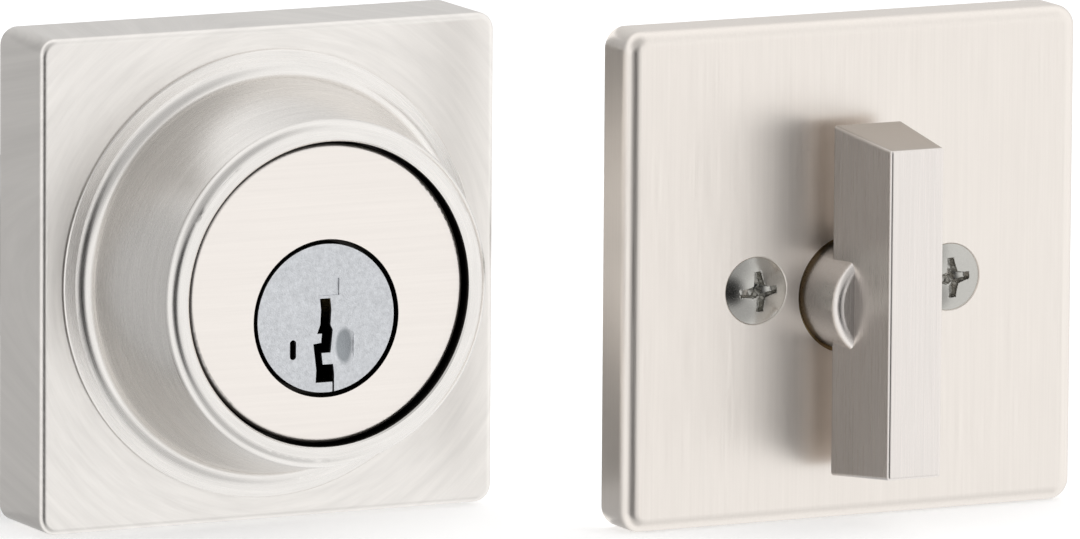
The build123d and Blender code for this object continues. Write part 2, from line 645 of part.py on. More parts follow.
def bolt_tube():
    tube = rod_x(TUBE_R, TUBE_FRONT_X, -TUBE_REAR, DOOR_MID_Y, BORE_Z)
    return tube - rod_x(TUBE_R_IN, TUBE_FRONT_X - 1, -TUBE_REAR + 1, DOOR_MID_Y, BORE_Z)


def bolt_window(x0, x1):
    return along_bolt(bolt_section(BOLT_R + SLIDING, BOLT_T + 2 * SLIDING), x0, x1)


def faceplate_screw_zs():
    return [BORE_Z - FACEPLATE_SCREW_Z, BORE_Z + FACEPLATE_SCREW_Z]


def screw_head(z, gap=0.0):
    middle = Pos(FACEPLATE_X + PLATE_SCREW_HEAD_T / 2, DOOR_MID_Y, z) * Rot(0, 90, 0)
    return middle * Cone(PLATE_SCREW_HEAD_R + gap, PLATE_SCREW_NECK_R + gap, PLATE_SCREW_HEAD_T)


def screw_seats():
    return [screw_head(z, RUNNING) + rod_x(SCREW_R + EASY, FACEPLATE_X + 1, TUBE_FRONT_X + 1, DOOR_MID_Y, z)
            for z in faceplate_screw_zs()]


def faceplate():
    plate = along_bolt(RectangleRounded(FACEPLATE_WIDTH, FACEPLATE_HEIGHT, FACEPLATE_CORNER),
                       FACEPLATE_X, BACKER_X)
    return plate - bolt_window(FACEPLATE_X - 1, BACKER_X + 1) - screw_seats()


def faceplate_backer():
    side = FACEPLATE_WIDTH - 2 * BACKER_INSET
    height = FACEPLATE_HEIGHT - 2 * BACKER_INSET
    plate = along_bolt(RectangleRounded(side, height, FACEPLATE_CORNER - BACKER_INSET),
                       BACKER_X, TUBE_FRONT_X)
    return plate - bolt_window(BACKER_X - 1, TUBE_FRONT_X + 1) - screw_seats()


def faceplate_screws():
    screws = []
    for z in faceplate_screw_zs():
        thread_x = TUBE_FRONT_X + THREAD_START
        point_x = FACEPLATE_X + PLATE_SCREW_LENGTH
        screw = screw_head(z)
        screw += rod_x(PLATE_SCREW_NECK_R, FACEPLATE_X + PLATE_SCREW_HEAD_T, thread_x, DOOR_MID_Y, z)
        screw += rod_x(SCREW_R, thread_x, point_x, DOOR_MID_Y, z)
        point = Cone(SCREW_R, PLATE_SCREW_TIP_R, PLATE_SCREW_POINT)
        screw += Pos(point_x + PLATE_SCREW_POINT / 2, DOOR_MID_Y, z) * Rot(0, 90, 0) * point
        for turn in (0, 90):
            slot = block(FACEPLATE_X - 1, FACEPLATE_X + PLATE_SCREW_SLOT_DEPTH, -PLATE_SCREW_SLOT_HALF,
                         PLATE_SCREW_SLOT_HALF, -PLATE_SCREW_SLOT_REACH, PLATE_SCREW_SLOT_REACH)
            screw -= Pos(0, DOOR_MID_Y, z) * Rot(turn, 0, 0) * slot
        screws.append(screw)
    return screws


def link_layers():
    """The two links run either side of the crank."""
    near = CRANK_T / 2 + SLIDING
    return [(DOOR_MID_Y - near - LINK_T, DOOR_MID_Y - near), (DOOR_MID_Y + near, DOOR_MID_Y + near + LINK_T)]


def cross_pin_place():
    return (-BOLT_REAR - LINK_GRIP / 2, (LINK_BOTTOM + LINK_TOP) / 2)


def dead_bolt():
    bolt = along_bolt(bolt_section(BOLT_R, BOLT_T), FACEPLATE_X, -BOLT_REAR)
    bolt = chamfer(bolt.faces().sort_by(Axis.X)[0].edges(), BOLT_CHAMFER)
    bolt -= rod_x(SAW_PIN_R + RUNNING, FACEPLATE_X + SAW_PIN_START, 0, DOOR_MID_Y, BORE_Z - SAW_PIN_DROP)
    for low, high in link_layers():
        bolt -= block(-BOLT_REAR - LINK_GRIP, 0, low, high, LINK_BOTTOM, BORE_Z + BOLT_R + 1)
    low, high = DOOR_MID_Y - CROSS_PIN_HALF, DOOR_MID_Y + CROSS_PIN_HALF
    return bolt - rod_y(CROSS_PIN_R, low, high, *cross_pin_place())


def anti_saw_pin():
    start = FACEPLATE_X + SAW_PIN_START + RUNNING
    return rod_x(SAW_PIN_R, start, start + SAW_PIN_LENGTH, DOOR_MID_Y, BORE_Z - SAW_PIN_DROP)


def bolt_links():
    links = []
    for low, high in link_layers():
        link = block(-BOLT_REAR - LINK_GRIP, TAIL_PIN_X, low, high, LINK_BOTTOM, LINK_TOP)
        link += rod_y(LINK_EYE_R, low, high, TAIL_PIN_X, TAIL_PIN_Z - LINK_EYE_DROP)
        link -= rod_y(TAIL_PIN_R, 0, DOOR_THICKNESS, TAIL_PIN_X, TAIL_PIN_Z)
        links.append(link - rod_y(CROSS_PIN_R, 0, DOOR_THICKNESS, *cross_pin_place()))
    return links


def cross_pin():
    return rod_y(CROSS_PIN_R, DOOR_MID_Y - CROSS_PIN_HALF, DOOR_MID_Y + CROSS_PIN_HALF, *cross_pin_place())


def tail_pin():
    low, high = DOOR_MID_Y - TAIL_PIN_HALF, DOOR_MID_Y + TAIL_PIN_HALF
    return rod_y(TAIL_PIN_R, low, high, TAIL_PIN_X, TAIL_PIN_Z)


def crank_hub():
    """The hub the tailpiece turns, with a forked crank that points up and back when drawn back."""
    reach = CASE_HALF + HUB_PROUD
    hub = rod_y(HUB_JOURNAL_R, DOOR_MID_Y - reach, DOOR_MID_Y + reach)
    hub += rod_y(HUB_R, DOOR_MID_Y - HUB_HALF, DOOR_MID_Y + HUB_HALF)
    low, high = DOOR_MID_Y - CRANK_T / 2, DOOR_MID_Y + CRANK_T / 2
    fork = TAIL_PIN_R + CRANK_SLACK
    crank = block(0, CRANK_TIP, low, high, -fork - CRANK_PRONG, fork + CRANK_PRONG)
    fork_root = TAIL_PIN_Z - TAIL_PIN_R - SLIDING
    crank -= block(fork_root, CRANK_TIP + 1, low - 1, high + 1, -fork, fork)
    hub += Rot(0, -45, 0) * crank
    slot_x, slot_z = BLADE_T / 2 + BLADE_SLOT_GAP, BLADE_WIDTH / 2 + BLADE_SLOT_GAP
    return hub - block(-slot_x, slot_x, 0, DOOR_THICKNESS, -slot_z, slot_z)


def hub_spring():
    """A shallow bowed leaf under the hub, on the case's floor."""
    top = -HUB_R - LEAF_GAP
    foot = top - LEAF_T - LEAF_GAP
    upper = [(-LEAF_HALF, foot + LEAF_T), (-LEAF_TOP_HALF, top), (LEAF_TOP_HALF, top), (LEAF_HALF,
                                                                                        foot + LEAF_T)]
    lower = [(LEAF_HALF, foot), (LEAF_UNDER_HALF, top - LEAF_T), (-LEAF_UNDER_HALF, top - LEAF_T),
             (-LEAF_HALF, foot)]
    leaf = make_face(Polyline(*upper, *lower, close=True))
    return slab(leaf, DOOR_MID_Y - LEAF_HALF_WIDTH, DOOR_MID_Y + LEAF_HALF_WIDTH)


# ================================================================ inner trim
# Its pieces are made about the turning axis with the cover's back at y = 0, then set in place.


def in_place(shape):
    return Pos(INNER_X, INNER_Y, 0) * shape


def support_layers():
    """The support plate lies on the inside of the cover's front wall."""
    front = COVER_FRONT_WALL - COVER_DEPTH
    return front, front + SUPPORT_T


def inner_cover():
    shell = cover_shell(COVER_SIDE, COVER_DEPTH, COVER_CORNER, COVER_FRONT_ROUND, COVER_WALL,
                        COVER_FRONT_WALL)
    shell -= rod_y(HUB_HOLE_R, -COVER_DEPTH - 1, 0)
    for x in POST_XS:
        shell -= rod_y(SCREW_R + EASY, -COVER_DEPTH - 1, 0, x, POST_RISE)
        shell -= cone_y(SCREW_HEAD_R + EASY, SCREW_R + EASY, -COVER_DEPTH, -COVER_DEPTH + SCREW_CONE, x,
                        POST_RISE)
    return in_place(shell)


def inner_support():
    front, back = support_layers()
    plate = slab(Pos(0, PLATE_Z) * RectangleRounded(SUPPORT_SIDE, SUPPORT_SIDE, SUPPORT_CORNER), front, back)
    plate -= rod_y(BUSH_R, front - 1, back + 1)
    for x in POST_XS:
        plate -= rod_y(SCREW_R + 2 * EASY, front - 1, back + 1, x, POST_RISE)
    return in_place(plate)


def turn_bush():
    front, back = support_layers()
    nose = -COVER_DEPTH + BUSH_SUNK
    bore = BOSS_R + RUNNING
    ring = turned([(bore, nose), (HUB_HOLE_R - RUNNING, nose), (HUB_HOLE_R - RUNNING, front), (BUSH_R, front),
                   (BUSH_R, back), (BUSH_FLANGE_R, back), (BUSH_FLANGE_R, back + BUSH_FLANGE_T),
                   (bore, back + BUSH_FLANGE_T)])
    return in_place(ring)


def thumb_turn():
    grip_back = -COVER_DEPTH - TURN_BACK_GAP
    grip_front = -COVER_DEPTH - TURN_FRONT
    grip = loft([front_plane(grip_back) * Rectangle(TURN_BACK_WIDTH, TURN_BACK_HEIGHT),
                 front_plane(grip_front) * Rectangle(TURN_FRONT_WIDTH, TURN_FRONT_HEIGHT)])
    grip = fillet(grip.edges(), TURN_EDGE_ROUND)
    boss = rod_y(BOSS_R, -COVER_DEPTH - BOSS_PROUD, -BOSS_SHORT)
    boss = fillet(boss.edges().group_by(Axis.Y)[0], BOSS_ROUND)
    body = grip + boss
    groove = turn_clip_front()
    body -= rod_y(BOSS_R + 1, groove, groove + CLIP_T) - rod_y(
        TURN_CLIP_GROOVE_R, groove - 1, groove + CLIP_T + 1)
    body -= rod_y(INSERT_R, -BOSS_SHORT - INSERT_LENGTH, -BOSS_SHORT + 1)
    body -= rod_y(BLADE_WIDTH / 2 + BLADE_HOLE_GAP, -BOSS_SHORT - BOSS_BORE, -BOSS_SHORT)
    return in_place(body)


def turn_clip_front():
    return support_layers()[1] + BUSH_FLANGE_T + SLIDING


def turn_insert():
    insert = rod_y(INSERT_R, -BOSS_SHORT - INSERT_LENGTH, -BOSS_SHORT)
    slot_x, slot_z = BLADE_T / 2 + BLADE_SLOT_GAP, BLADE_WIDTH / 2 + BLADE_SLOT_GAP
    insert -= block(-slot_x, slot_x, -INSERT_LENGTH - 1, 1, -slot_z, slot_z)
    return in_place(insert)


def wave_washer():
    low = support_layers()[1] + BUSH_FLANGE_T
    return in_place(rod_y(TURN_CLIP_R, low, low + WASHER_T) - rod_y(BOSS_R + EASY, low - 1, low + 1))


def mounting_screws():
    screws = []
    face = -COVER_DEPTH
    for x in POST_XS:
        dome_r = (SCREW_HEAD_R ** 2 + SCREW_DOME ** 2) / (2 * SCREW_DOME)
        dome = Pos(x, face - SCREW_DOME + dome_r, POST_RISE) * Sphere(dome_r)
        screw = dome & rod_y(SCREW_HEAD_R, face - SCREW_DOME - 1, face, x, POST_RISE)
        screw += cone_y(SCREW_HEAD_R, SCREW_R, face, face + SCREW_CONE, x, POST_RISE)
        tip = SCREW_REACH - SCREW_TIP
        screw += rod_y(SCREW_R, face + SCREW_CONE, tip, x, POST_RISE)
        screw += cone_y(SCREW_R, SCREW_R - SCREW_TIP_TAPER, tip, SCREW_REACH, x, POST_RISE)
        for turn in (0, 90):
            wing = block(-RECESS_REACH, RECESS_REACH, face - SCREW_DOME - 1, face + RECESS_DEPTH,
                         -RECESS_HALF, RECESS_HALF)
            screw -= Pos(x, 0, POST_RISE) * Rot(0, turn + RECESS_TURN, 0) * wing
        screw -= cone_y(RECESS_MOUTH_R, RECESS_FLOOR_R, face - SCREW_DOME - EASY, face + RECESS_MIDDLE_DEPTH,
                        x, POST_RISE)
        screws.append(in_place(screw))
    return screws


def group(solids):
    return Compound(children=list(solids))


PIECES = {
    "outer_rose": outer_rose(),
    "guard_collar": guard_collar(),
    "cylinder_housing": cylinder_housing(),
    "drill_pins": group(drill_pins()),
    "threaded_posts": group(threaded_posts()),
    "key_plug": key_plug(),
    "key_pins": group(key_pins()),
    "pin_springs": group(pin_springs()),
    "spring_cover": spring_cover(),
    "code_wafers": group(code_wafers()),
    "sidebar": sidebar(),
    "sidebar_springs": group(sidebar_springs()),
    "plug_clip": c_clip(CLIP_R, CLIP_GROOVE_R, HOUSING_BACK_Y + CLIP_BEHIND, CLIP_OPENING),
    "tail_cap": tail_cap(),
    "tailpiece": tailpiece(),
    "case_half_front": case_half(-1),
    "case_half_rear": case_half(1),
    "case_rivets": group(case_rivets()),
    "bolt_tube": bolt_tube(),
    "faceplate": faceplate(),
    "faceplate_backer": faceplate_backer(),
    "faceplate_screws": group(faceplate_screws()),
    "dead_bolt": dead_bolt(),
    "anti_saw_pin": anti_saw_pin(),
    "bolt_links": group(bolt_links()),
    "cross_pin": cross_pin(),
    "tail_pin": tail_pin(),
    "crank_hub": crank_hub(),
    "hub_spring": hub_spring(),
    "inner_cover": inner_cover(),
    "inner_support": inner_support(),
    "turn_bush": turn_bush(),
    "thumb_turn": thumb_turn(),
    "turn_insert": turn_insert(),
    "turn_clip": in_place(c_clip(TURN_CLIP_R, TURN_CLIP_GROOVE_R, turn_clip_front(), CLIP_OPENING)),
    "wave_washer": wave_washer(),
    "mounting_screws": group(mounting_screws()),
}

for name, shape in PIECES.items():
    save(shape, name)
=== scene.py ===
import math

import bpy
import numpy as np
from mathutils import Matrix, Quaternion, Vector


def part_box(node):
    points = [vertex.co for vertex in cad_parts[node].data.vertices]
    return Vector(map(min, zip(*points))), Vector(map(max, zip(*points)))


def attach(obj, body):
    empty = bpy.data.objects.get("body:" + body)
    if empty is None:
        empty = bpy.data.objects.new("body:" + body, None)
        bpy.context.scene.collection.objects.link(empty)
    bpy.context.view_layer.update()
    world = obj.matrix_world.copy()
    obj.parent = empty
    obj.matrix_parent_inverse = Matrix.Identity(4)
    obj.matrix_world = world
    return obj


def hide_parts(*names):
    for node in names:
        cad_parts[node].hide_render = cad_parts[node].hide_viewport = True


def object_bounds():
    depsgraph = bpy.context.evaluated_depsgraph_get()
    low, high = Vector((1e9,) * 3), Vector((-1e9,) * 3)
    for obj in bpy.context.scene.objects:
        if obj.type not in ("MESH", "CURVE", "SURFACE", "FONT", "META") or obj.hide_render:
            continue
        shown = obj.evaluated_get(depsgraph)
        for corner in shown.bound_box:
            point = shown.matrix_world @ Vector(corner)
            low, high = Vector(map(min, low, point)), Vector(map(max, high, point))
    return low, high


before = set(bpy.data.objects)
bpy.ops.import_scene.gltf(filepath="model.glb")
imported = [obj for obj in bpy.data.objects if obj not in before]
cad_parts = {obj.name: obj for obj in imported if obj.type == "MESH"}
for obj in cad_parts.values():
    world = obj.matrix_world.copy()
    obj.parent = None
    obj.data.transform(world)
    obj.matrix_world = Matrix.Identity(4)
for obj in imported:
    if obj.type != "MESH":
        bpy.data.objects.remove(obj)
cad_low, cad_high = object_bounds()

# ---------------------------------------------------------------- camera
# A long lens two metres away, a little above the lock and well to its left, so that both trims show
# their front, their left side and a sliver of their top.
VIEW_YAW = math.radians(-26.15)
VIEW_PITCH = math.radians(9.29)
VIEW_ROLL = math.radians(0.40)
VIEW_DISTANCE = 2.0
VIEW_LENS = 500.36
VIEW_AIM = Vector((0.03212, -0.03013, 0.00423))

toward_camera = Vector((math.sin(VIEW_YAW) * math.cos(VIEW_PITCH),
                        -math.cos(VIEW_YAW) * math.cos(VIEW_PITCH), math.sin(VIEW_PITCH)))
camera_data = bpy.data.cameras.new("studio_camera")
camera_data.sensor_width = 36.0
camera_data.lens = VIEW_LENS
camera_data.clip_start = 0.05
camera_data.clip_end = 50.0
camera = bpy.data.objects.new("studio_camera", camera_data)
bpy.context.scene.collection.objects.link(camera)
camera.rotation_mode = "QUATERNION"
level = (-toward_camera).to_track_quat("-Z", "Y")
camera.rotation_quaternion = Quaternion(toward_camera, VIEW_ROLL) @ level
camera.location = VIEW_AIM + toward_camera * VIEW_DISTANCE
bpy.context.scene.camera = camera
bpy.context.scene.view_settings.view_transform = "Standard"

# ---------------------------------------------------------------- studio light and floor
# A wrap-round soft box with flags: the dark room behind the camera, weaker ones above and below it,
# one behind the lock on its left that shades the left sides, and one over its far right. The floor
# is a pale table.
SOFT_BOX_LEVEL = 1.12
# Each flag: its direction, the share of the light it lets through, and the cosines of the angles from
# that direction at which it begins and is full.
FLAGS = [
    ((-0.43, -0.885, -0.12), 0.02, 0.84, 0.98),
    ((-0.36, -0.66, 0.64), 0.50, 0.62, 0.97),
    ((-0.06, -0.75, -0.655), 0.60, 0.80, 0.97),
    ((-0.43, 0.885, -0.16), 0.40, 0.45, 0.93),
    ((0.43, 0.885, 0.16), 0.66, 0.60, 0.97),
]
world = bpy.data.worlds.new("studio")
bpy.context.scene.world = world
world.use_nodes = True
sky = world.node_tree
sky.nodes.clear()
direction = sky.nodes.new("ShaderNodeTexCoord").outputs["Generated"]
box_level = sky.nodes.new("ShaderNodeValue")
box_level.outputs[0].default_value = SOFT_BOX_LEVEL
level_out = box_level.outputs[0]
for flag_dir, flag_level, edge, full in FLAGS:
    facing = sky.nodes.new("ShaderNodeVectorMath")
    facing.operation = "DOT_PRODUCT"
    facing.inputs[1].default_value = Vector(flag_dir).normalized()
    sky.links.new(direction, facing.inputs[0])
    shaded = sky.nodes.new("ShaderNodeMapRange")
    shaded.interpolation_type = "SMOOTHSTEP"
    for name, number in (("From Min", edge), ("From Max", full), ("To Min", 1.0), ("To Max", flag_level)):
        shaded.inputs[name].default_value = number
    sky.links.new(facing.outputs["Value"], shaded.inputs["Value"])
    dimmed = sky.nodes.new("ShaderNodeMath")
    dimmed.operation = "MULTIPLY"
    sky.links.new(level_out, dimmed.inputs[0])
    sky.links.new(shaded.outputs["Result"], dimmed.inputs[1])
    level_out = dimmed.outputs[0]
studio = sky.nodes.new("ShaderNodeBackground")
studio.inputs["Color"].default_value = (1.0, 1.0, 1.0, 1.0)
sky.links.new(level_out, studio.inputs["Strength"])
backdrop = sky.nodes.new("ShaderNodeBackground")
backdrop.inputs["Color"].default_value = (1.0, 1.0, 1.0, 1.0)
backdrop.inputs["Strength"].default_value = 1.0
which = sky.nodes.new("ShaderNodeMixShader")
sky.links.new(sky.nodes.new("ShaderNodeLightPath").outputs["Is Camera Ray"], which.inputs[0])
sky.links.new(studio.outputs[0], which.inputs[1])
sky.links.new(backdrop.outputs[0], which.inputs[2])
sky.links.new(which.outputs[0], sky.nodes.new("ShaderNodeOutputWorld").inputs["Surface"])

FLOOR_HALF = 4.0
FLOOR_GLOW = 0.35           # keeps the table as pale as the backdrop
floor_z = cad_low.z
floor_mesh = bpy.data.meshes.new("floor")
floor_mesh.from_pydata([(-FLOOR_HALF, -FLOOR_HALF, floor_z), (FLOOR_HALF, -FLOOR_HALF, floor_z),
                        (FLOOR_HALF, FLOOR_HALF, floor_z), (-FLOOR_HALF, FLOOR_HALF, floor_z)],
                       [], [(0, 1, 2, 3)])
floor = bpy.data.objects.new("floor", floor_mesh)
bpy.context.scene.collection.objects.link(floor)
floor_paint = bpy.data.materials.new("floor_paint")
floor_paint.use_nodes = True
floor_shader = floor_paint.node_tree.nodes["Principled BSDF"]
floor_shader.inputs["Base Color"].default_value = (0.94, 0.94, 0.94, 1.0)
floor_shader.inputs["Roughness"].default_value = 0.9
floor_shader.inputs["Emission Color"].default_value = (1.0, 1.0, 1.0, 1.0)
floor_shader.inputs["Emission Strength"].default_value = FLOOR_GLOW
floor_mesh.materials.append(floor_paint)
floor.visible_glossy = False

# Two cards that only reflections see: a white one just behind the inner half, whose open back would
# otherwise be mirrored in the rose beside it, and a grey one left of the rose in front of the bolt.
CARD_WIDTH, CARD_GAP = 0.05, 0.0005
GREY_CARD_LEVEL = 0.45 * SOFT_BOX_LEVEL


def card(name, low_x, high_x, y, low_z, high_z, level):
    """A lit upright rectangle facing along Y that the camera can't see."""
    mesh = bpy.data.meshes.new(name)
    mesh.from_pydata([(low_x, y, low_z), (high_x, y, low_z), (high_x, y, high_z), (low_x, y, high_z)],
                     [], [(0, 1, 2, 3)])
    sheet = bpy.data.objects.new(name, mesh)
    bpy.context.scene.collection.objects.link(sheet)
    light = bpy.data.materials.new(name + "_light")
    light.use_nodes = True
    shader = light.node_tree.nodes["Principled BSDF"]
    shader.inputs["Base Color"].default_value = (0.0, 0.0, 0.0, 1.0)
    shader.inputs["Emission Color"].default_value = (1.0, 1.0, 1.0, 1.0)
    shader.inputs["Emission Strength"].default_value = level
    mesh.materials.append(light)
    sheet.visible_camera = False
    sheet.visible_shadow = False


cover_low, cover_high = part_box("inner_cover")
rose_low, rose_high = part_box("outer_rose")
card("white_card", cover_low.x, cover_high.x, cover_high.y, cover_low.z, cover_high.z, SOFT_BOX_LEVEL)
card("grey_card", rose_low.x - CARD_WIDTH, rose_low.x, rose_high.y + CARD_GAP, rose_low.z, rose_high.z,
     GREY_CARD_LEVEL)

# ---------------------------------------------------------------- outer rose
# The square plate of the outer half, pressed in brass and plated in satin nickel. A scouring wheel
# turned round the collar leaves fine arcs on it. The collar's flange holds it against the door.
PLATE_CENTRE = (0.0, 0.0, (rose_low.z + rose_high.z) / 2)
NOISE_LOW, NOISE_HIGH = 0.3, 0.7    # the range that nearly all of a noise pattern keeps to


def metal(name, tint, roughness, anisotropy=0.0):
    """A plated metal: a metallic shader with its own numbers set on its sockets."""
    made = bpy.data.materials.new(name)
    made.use_nodes = True
    shader = made.node_tree.nodes["Principled BSDF"]
    shader.inputs["Base Color"].default_value = (*tint, 1.0)
    shader.inputs["Metallic"].default_value = 1.0
    shader.inputs["Roughness"].default_value = roughness
    shader.inputs["Anisotropic"].default_value = anisotropy
    return made, made.node_tree, shader


def math_node(tree, operation, a, b):
    """One step of arithmetic on two sockets or numbers."""
    node = tree.nodes.new("ShaderNodeMath")
    node.operation = operation
    for slot, value in zip(node.inputs, (a, b)):
        if isinstance(value, (int, float)):
            slot.default_value = value
        else:
            tree.links.new(value, slot)
    return node.outputs[0]


def centred(tree, centre):
    """Object coordinates counted from a centre, in metres."""
    place = tree.nodes.new("ShaderNodeMapping")
    place.inputs["Location"].default_value = [-c for c in centre]
    tree.links.new(tree.nodes.new("ShaderNodeTexCoord").outputs["Object"], place.inputs["Vector"])
    return place.outputs["Vector"]


def scaled(tree, vector, factors):
    """A vector with each of its parts multiplied by its own factor."""
    node = tree.nodes.new("ShaderNodeVectorMath")
    node.operation = "MULTIPLY"
    tree.links.new(vector, node.inputs[0])
    node.inputs[1].default_value = factors
    return node.outputs[0]


def ring_coordinates(tree, centre, around, across, along):
    """(direction from the axis x around + Y x along, radius x across): constant on a circle but for
    a slow drift, so noise read with it is drawn out into arcs round a line along Y."""
    flat = scaled(tree, centred(tree, centre), (1.0, 0.0, 1.0))
    unit = tree.nodes.new("ShaderNodeVectorMath")
    unit.operation = "NORMALIZE"
    tree.links.new(flat, unit.inputs[0])
    length = tree.nodes.new("ShaderNodeVectorMath")
    length.operation = "LENGTH"
    tree.links.new(flat, length.inputs[0])
    drift = scaled(tree, unit.outputs[0], (around, 0.0, around))
    depth = scaled(tree, centred(tree, centre), (0.0, along, 0.0))
    both = tree.nodes.new("ShaderNodeVectorMath")
    both.operation = "ADD"
    tree.links.new(drift, both.inputs[0])
    tree.links.new(depth, both.inputs[1])
    outward = tree.nodes.new("ShaderNodeCombineXYZ")
    tree.links.new(math_node(tree, "MULTIPLY", length.outputs["Value"], across), outward.inputs["Y"])
    total = tree.nodes.new("ShaderNodeVectorMath")
    total.operation = "ADD"
    tree.links.new(both.outputs[0], total.inputs[0])
    tree.links.new(outward.outputs[0], total.inputs[1])
    return total.outputs[0], unit.outputs[0]


def scratches(tree, vector, detail=3.0):
    """Fine-grained noise, read at the given vector."""
    grain = tree.nodes.new("ShaderNodeTexNoise")
    grain.inputs["Scale"].default_value = 1.0
    grain.inputs["Detail"].default_value = detail
    grain.inputs["Roughness"].default_value = 0.6
    tree.links.new(vector, grain.inputs["Vector"])
    return grain.outputs["Fac"]


def spread(tree, value, low, high, low_out, high_out):
    """A value's range from low to high carried over to another range, and held there past its ends."""
    node = tree.nodes.new("ShaderNodeMapRange")
    for name, number in (("From Min", low), ("From Max", high), ("To Min", low_out), ("To Max", high_out)):
        node.inputs[name].default_value = number
    tree.links.new(value, node.inputs["Value"])
    return node.outputs["Result"]


def grain_finish(tree, shader, tint, fine, broad, roughness, depth, roughness_swing=0.06, tone_swing=0.05):
    """Fine scratches dent the surface and change its gloss; broad ones only shift its tone. The mix
    node's inputs 6 and 7 are its two colours, and its output 2 is the mixed one."""
    tree.links.new(spread(tree, fine, NOISE_LOW, NOISE_HIGH, roughness - roughness_swing,
                          roughness + roughness_swing), shader.inputs["Roughness"])
    tone = tree.nodes.new("ShaderNodeMix")
    tone.data_type = "RGBA"
    dark, light = [c * (1 - tone_swing) for c in tint], [min(1.0, c * (1 + tone_swing)) for c in tint]
    tone.inputs[6].default_value = (*dark, 1.0)
    tone.inputs[7].default_value = (*light, 1.0)
    tree.links.new(spread(tree, broad, NOISE_LOW, NOISE_HIGH, 0.0, 1.0), tone.inputs[0])
    tree.links.new(tone.outputs[2], shader.inputs["Base Color"])
    dent = tree.nodes.new("ShaderNodeBump")
    dent.inputs["Strength"].default_value = 1.0
    dent.inputs["Distance"].default_value = depth
    tree.links.new(fine, dent.inputs["Height"])
    tree.links.new(dent.outputs["Normal"], shader.inputs["Normal"])


def finish_node(node, made):
    """Gives a carried-over node its material."""
    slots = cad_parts[node].data.materials
    slots.clear()
    slots.append(made)


ROSE_TINT = (0.83, 0.80, 0.765)
ROSE_ROUGHNESS = 0.34
ROSE_SCRATCH_DEPTH = 0.000006
rose_metal, tree, shader = metal("rose_satin_nickel", ROSE_TINT, ROSE_ROUGHNESS)
fine_at, _ = ring_coordinates(tree, PLATE_CENTRE, around=6.0, across=9000.0, along=900.0)
broad_at, _ = ring_coordinates(tree, PLATE_CENTRE, around=3.0, across=900.0, along=120.0)
grain_finish(tree, shader, ROSE_TINT, scratches(tree, fine_at), scratches(tree, broad_at),
             ROSE_ROUGHNESS, ROSE_SCRATCH_DEPTH)
finish_node("outer_rose", rose_metal)

# ---------------------------------------------------------------- guard collar
# The tapered ring that shields the cylinder: turned from bar, satin-brushed on the lathe and plated,
# with shade painted near-black on its bore. A spigot on its back goes through the rose and into the door.


def darken(tree, shader, mask, tint):
    """Blends the colour towards a dark tint where the mask is 1."""
    colour = shader.inputs["Base Color"]
    both = tree.nodes.new("ShaderNodeMix")
    both.data_type = "RGBA"
    if colour.is_linked:
        tree.links.new(colour.links[0].from_socket, both.inputs[6])
    else:
        both.inputs[6].default_value = tuple(colour.default_value)
    both.inputs[7].default_value = (*tint, 1.0)
    tree.links.new(mask, both.inputs[0])
    tree.links.new(both.outputs[2], colour)


def radius_about(tree, centre):
    """Distance from a line along Y through the centre."""
    flat = scaled(tree, centred(tree, centre), (1.0, 0.0, 1.0))
    length = tree.nodes.new("ShaderNodeVectorMath")
    length.operation = "LENGTH"
    tree.links.new(flat, length.inputs[0])
    return length.outputs["Value"]


COLLAR_TINT = (0.80, 0.775, 0.745)
COLLAR_ROUGHNESS, COLLAR_ANISOTROPY = 0.27, 0.15
COLLAR_SCRATCH_DEPTH = 0.000004
collar_metal, tree, shader = metal("collar_satin_nickel", COLLAR_TINT, COLLAR_ROUGHNESS, COLLAR_ANISOTROPY)
fine_at, outward_dir = ring_coordinates(tree, PLATE_CENTRE, around=5.0, across=9000.0, along=9000.0)
broad_at, _ = ring_coordinates(tree, PLATE_CENTRE, around=2.0, across=1200.0, along=1200.0)
grain_finish(tree, shader, COLLAR_TINT, scratches(tree, fine_at), scratches(tree, broad_at),
             COLLAR_ROUGHNESS, COLLAR_SCRATCH_DEPTH)
across = tree.nodes.new("ShaderNodeVectorMath")
across.operation = "ADD"
across.inputs[1].default_value = (0.0, 1.0, 0.0)
tree.links.new(outward_dir, across.inputs[0])
tree.links.new(across.outputs[0], shader.inputs["Tangent"])
# Near-black tint for painted shade: the collar's bore, the plug's mouth, the disc's upright side and the
# plug's cuts.
PAINTED_SHADE_TINT = (0.035, 0.033, 0.03)
BORE_SHADE_MARGIN = 0.00038  # painted shade on the bore, out from the face disc
face_low, face_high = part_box("cylinder_housing")
face_radius = (face_high.x - face_low.x) / 2
in_bore = math_node(tree, "LESS_THAN", radius_about(tree, PLATE_CENTRE), face_radius + BORE_SHADE_MARGIN)
# Painted shade: the bore darkened to near-black.
darken(tree, shader, in_bore, PAINTED_SHADE_TINT)
finish_node("guard_collar", collar_metal)

# ---------------------------------------------------------------- cylinder housing
# The housing's front disc, recessed inside the collar: plated, with a fine straight grain. The housing
# holds two hardened drill pins, and two zinc-plated posts are screwed into its back.
ALONG_X, ALONG_Y, ALONG_Z = 0, 1, 2
GRAIN_PITCH, STREAK_PITCH = 0.00009, 0.00036
GRAIN_LENGTH, STREAK_LENGTH = 0.012, 0.03
STREAK_TONE = 0.02
LIGHT_SCRATCH, DEEP_SCRATCH = 0.000003, 0.000006


